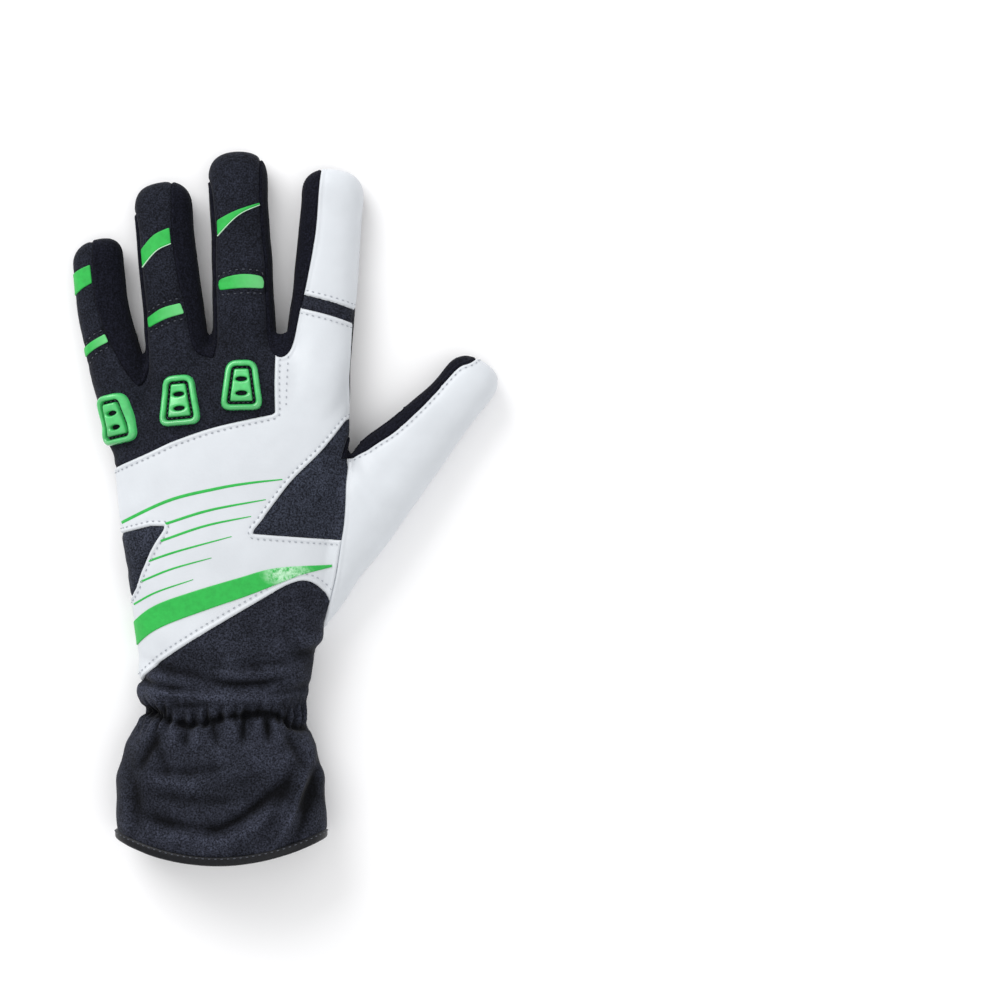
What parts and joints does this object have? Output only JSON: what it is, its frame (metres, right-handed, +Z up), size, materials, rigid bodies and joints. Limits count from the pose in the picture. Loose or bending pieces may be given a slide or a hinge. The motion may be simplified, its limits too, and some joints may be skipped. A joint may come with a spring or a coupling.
{
  "type": "karting glove",
  "caption": "Left hand karting glove lying palm down, with a gathered gauntlet cuff, moulded knuckle guards and silicone grip prints.",
  "frame": {"origin": "under the middle of the glove's outline, on the surface that it lies on", "axes": "+Y from the cuff towards the fingertips, +X towards the thumb, +Z up through the back of the hand"},
  "size_m": [0.179, 0.2978, 0.0382],
  "materials": {
    "softshell": "heathered black softshell knit",
    "side_cloth": "black stretch knit",
    "white_leather": "smooth white synthetic leather",
    "palm_suede": "black synthetic suede",
    "binding": "black turned leather binding",
    "green_print": "green coated film",
    "guard_rubber": "green moulded soft rubber",
    "silicone": "glossy black silicone print"
  },
  "bodies": {
    "root": {"knuckle_panel": "softshell", "web_panel": "softshell", "ulnar_inset": "softshell", "wrist_panel": "softshell", "index_joint_band": "softshell", "cuff_palm": "softshell", "side_strip_pinky_ring": "side_cloth", "side_strip_ring_middle": "side_cloth", "side_strip_middle_index": "side_cloth", "side_strip_thumb": "side_cloth", "leather_panel": "white_leather", "thumb_panel": "white_leather", "index_tip_panel": "white_leather", "palm_panel": "palm_suede", "hem_binding": "binding", "stripe_hand": "green_print", "stripe_pinky_tip": "green_print", "stripe_pinky_joint": "green_print", "stripe_ring_tip": "green_print", "stripe_ring_joint": "green_print", "stripe_middle_tip": "green_print", "stripe_middle_joint": "green_print", "guard_rim_pinky": "guard_rubber", "guard_rim_ring": "guard_rubber", "guard_rim_middle": "guard_rubber", "guard_core_pinky": "guard_rubber", "guard_core_ring": "guard_rubber", "guard_core_middle": "guard_rubber", "grip_palm": "silicone", "grip_thenar": "silicone", "grip_pinky": "silicone", "grip_ring": "silicone", "grip_middle": "silicone", "grip_index": "silicone", "grip_thumb": "silicone"}
  },
  "joints": []
}
